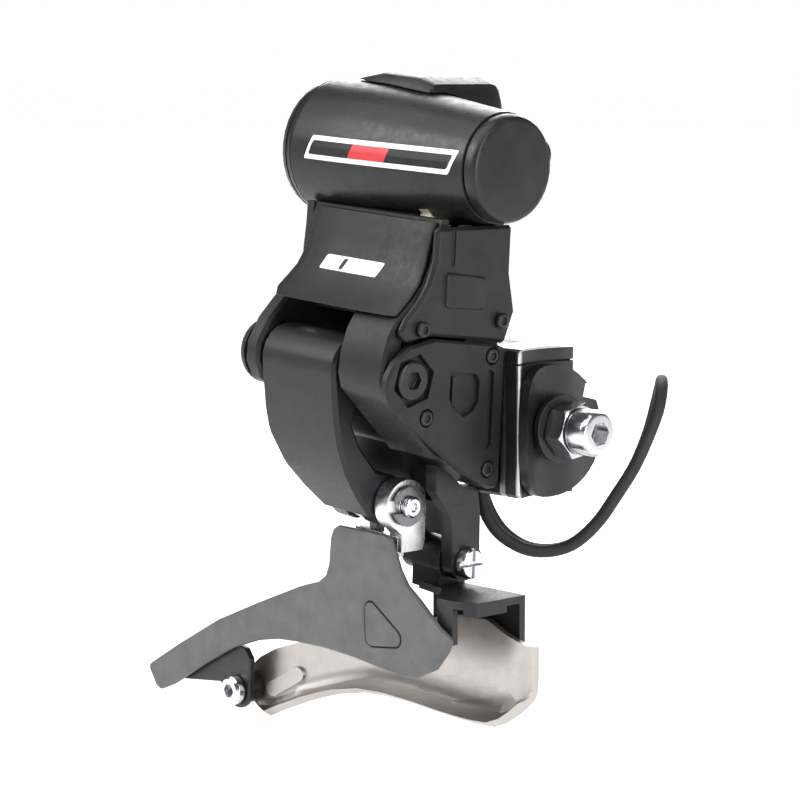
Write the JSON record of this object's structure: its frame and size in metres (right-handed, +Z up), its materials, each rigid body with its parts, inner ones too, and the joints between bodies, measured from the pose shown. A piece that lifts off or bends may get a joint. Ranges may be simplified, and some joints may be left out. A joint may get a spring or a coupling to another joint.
{
  "type": "front derailleur",
  "caption": "Electronic braze-on front derailleur: motor barrel over a geared parallelogram link, two-plate chain cage, clamp bolt and signal cable.",
  "frame": {"origin": "where the mounting bolt's axis meets the hollow seat", "axes": "+X along the mounting bolt, forward on the bike; -Y towards the chainrings' outer side; +Z up"},
  "size_m": [0.1035, 0.0747, 0.1248],
  "materials": {
    "arm_alloy": "dark satin anodised",
    "black_alloy": "black anodised",
    "black_plastic": "satin black moulding",
    "board_green": "circuit board",
    "brass": "machined",
    "bright_alloy": "bright satin",
    "gear_nylon": "plain",
    "plate_grey": "matt grey",
    "rubber": "matt",
    "satin_nickel": "satin nickel",
    "steel": "polished"
  },
  "bodies": {
    "case": {"main_body": "black_plastic", "front_plate": "black_plastic", "gear_cover": "black_plastic", "cover_screw_1": "black_alloy", "cover_screw_2": "black_alloy", "cover_screw_3": "black_alloy", "cover_screw_4": "black_alloy", "cover_screw_5": "black_alloy", "neck_cover": "black_plastic", "motor_housing": "black_plastic", "front_cap": "black_plastic", "cap_seal": "rubber", "rear_cap": "black_plastic", "motor_can": "steel", "gearhead": "bright_alloy", "control_board": "board_green", "electronics_cover": "black_plastic", "seat_bracket": "black_alloy", "curved_washer": "black_alloy", "dished_washer": "black_alloy", "hex_nut": "steel", "mounting_bolt": "steel", "upper_outer_pin": "black_alloy", "rear_pivot_cap": "black_plastic", "upper_inner_pin": "steel", "stop_screw": "steel", "idler_shaft_1": "steel", "idler_shaft_2": "steel", "cable_gland": "rubber", "signal_cable": "rubber", "cable_coil": "rubber", "coil_tie": "rubber", "cable_connector": "black_plastic"},
    "pinion": {"motor_pinion": "brass"},
    "idler_1": {"idler_gear_1": "gear_nylon"},
    "idler_2": {"idler_gear_2": "gear_nylon"},
    "arm": {"outer_arm": "arm_alloy", "sector_gear": "brass", "arm_bush_rear": "brass", "arm_bush_front": "brass"},
    "link": {"inner_link": "black_alloy", "link_bush_rear": "brass", "link_bush_front": "brass"},
    "cage": {"cage_lug": "bright_alloy", "lower_outer_pin": "steel", "e_clip": "steel", "lower_inner_screw": "steel", "cage_bridge": "black_alloy", "cage_outer_plate": "plate_grey", "plate_pad": "plate_grey", "cage_inner_plate": "satin_nickel", "rear_strap": "black_alloy", "rear_spacer": "black_plastic", "rear_screw": "steel", "rear_nut": "steel"}
  },
  "joints": [
    {"name": "arm_swing", "type": "hinge", "parent": "case", "child": "arm", "pos_m": [-0.0367, -0.0299, 0.01251], "axis": [-0.9981, 0, 0.061], "range_deg": [0, 31]},
    {"name": "link_swing", "type": "hinge", "parent": "case", "child": "link", "pos_m": [-0.03717, -0.0189, 0.00167], "axis": [-0.9981, 0, 0.061], "range_deg": [0, 31]},
    {"name": "cage_pivot", "type": "hinge", "parent": "arm", "child": "cage", "pos_m": [-0.03046, -0.0203, -0.01311], "axis": [-0.9981, 0, 0.061], "range_deg": [-31, 0]},
    {"name": "idler_2_spin", "type": "hinge", "parent": "case", "child": "idler_2", "pos_m": [-0.01314, -0.0184, 0.02425], "axis": [-0.9981, 0, 0.061], "range_deg": [-51, 0]},
    {"name": "idler_1_spin", "type": "hinge", "parent": "case", "child": "idler_1", "pos_m": [-0.0124, -0.01323, 0.03637], "axis": [-0.9981, 0, 0.061], "range_deg": [0, 51]},
    {"name": "pinion_spin", "type": "hinge", "parent": "case", "child": "pinion", "pos_m": [-0.01171, -0.0122, 0.0477], "axis": [-0.9981, 0, 0.061], "range_deg": [-70, 0]}
  ],
  "couplings": [
    {"joint": "link_swing", "follows": "arm_swing", "ratio": 1},
    {"joint": "cage_pivot", "follows": "arm_swing", "ratio": -1},
    {"joint": "idler_2_spin", "follows": "arm_swing", "ratio": -1.6364},
    {"joint": "idler_1_spin", "follows": "arm_swing", "ratio": 1.6364},
    {"joint": "pinion_spin", "follows": "arm_swing", "ratio": -2.25}
  ]
}
